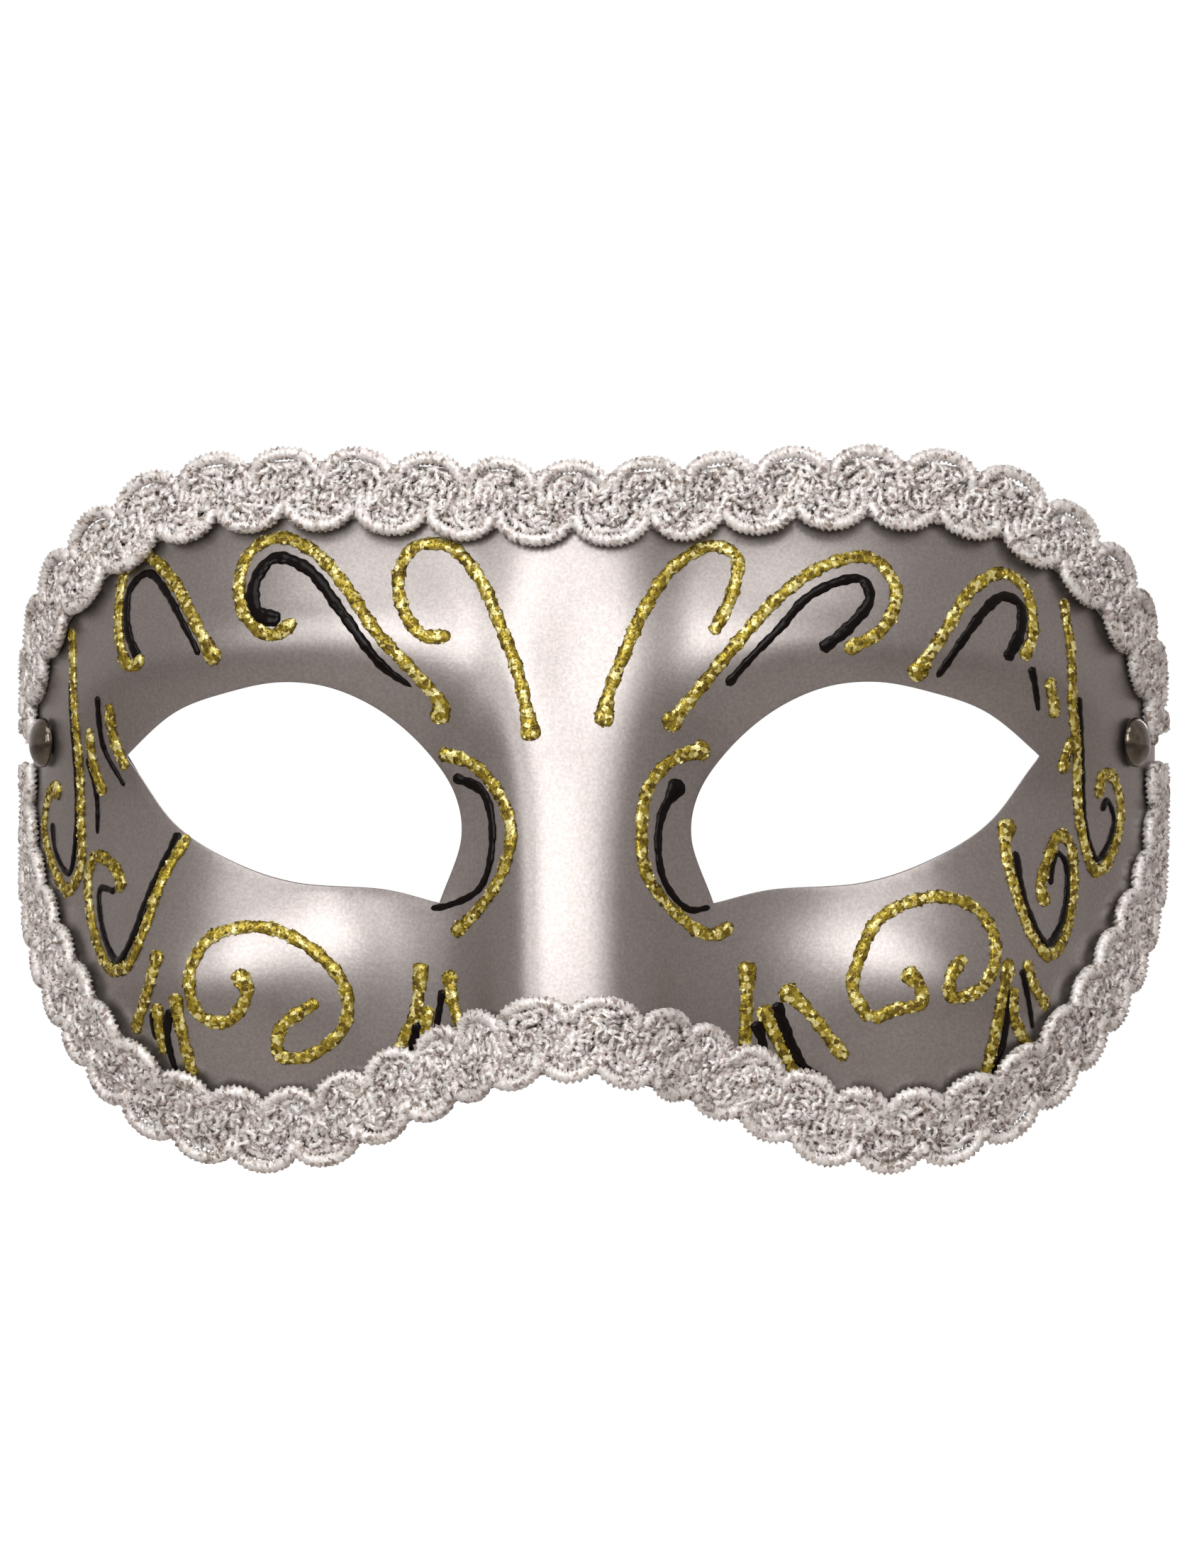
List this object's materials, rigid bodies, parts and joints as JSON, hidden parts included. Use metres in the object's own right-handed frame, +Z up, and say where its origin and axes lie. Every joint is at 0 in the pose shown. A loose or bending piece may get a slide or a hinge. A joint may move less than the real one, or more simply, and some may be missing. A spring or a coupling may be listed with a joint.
{
  "type": "venetian masquerade mask",
  "caption": "Curved half mask with two eye holes, a felt lining, scalloped braid round the rim, raised scrollwork and a domed rivet at each temple.",
  "frame": {"origin": "on the centre line at pupil height, midway between the two rivets: where the wearer's face holds the mask", "axes": "+X to the right of someone facing the mask's front, +Y towards the wearer's head, +Z up"},
  "size_m": [0.1724, 0.0659, 0.1015],
  "materials": {
    "shell_paint": "satin silver-mauve metallic paint on moulded plastic",
    "lining_felt": "black felt",
    "braid_thread": "silver metallic thread, looped gimp braid",
    "rivet_metal": "polished dark nickel plate",
    "glitter_gold": "raised gold glitter glue",
    "enamel_black": "raised glossy black-brown enamel line"
  },
  "bodies": {
    "root": {"shell": "shell_paint", "lining": "lining_felt", "braid_upper": "braid_thread", "braid_lower": "braid_thread", "rivet_cap_left": "rivet_metal", "rivet_washer_left": "rivet_metal", "rivet_post_left": "rivet_metal", "rivet_cap_right": "rivet_metal", "rivet_washer_right": "rivet_metal", "rivet_post_right": "rivet_metal"}
  },
  "joints": []
}
